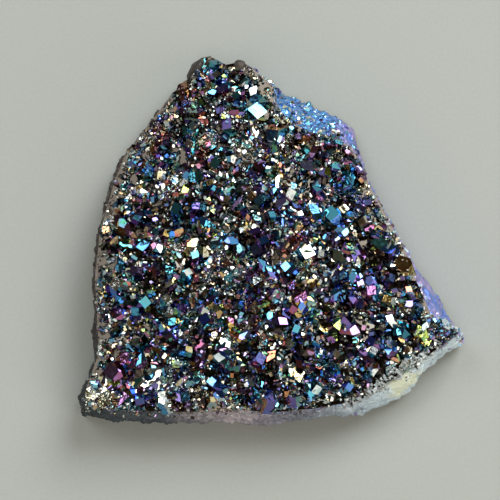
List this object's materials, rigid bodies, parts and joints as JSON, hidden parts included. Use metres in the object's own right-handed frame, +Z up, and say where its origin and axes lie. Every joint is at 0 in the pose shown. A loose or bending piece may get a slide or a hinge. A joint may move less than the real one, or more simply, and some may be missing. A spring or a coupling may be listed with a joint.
{
  "type": "aura quartz druse",
  "caption": "Hand-sized slab of metal-coated quartz druse, an intergrown carpet of iridescent crystal points on grey chalcedony matrix, lying flat.",
  "frame": {"origin": "middle of the footprint, on the surface that the slab rests on", "axes": "+X towards the slab's sharp corner, +Y towards its narrow end, +Z up through the crystals"},
  "size_m": [0.0504, 0.0484, 0.0116],
  "materials": {
    "matrix_stone": "matte",
    "coated_crystals": "polished"
  },
  "bodies": {
    "root": {"matrix": "matrix_stone", "crystal_crust": "coated_crystals"}
  },
  "joints": []
}
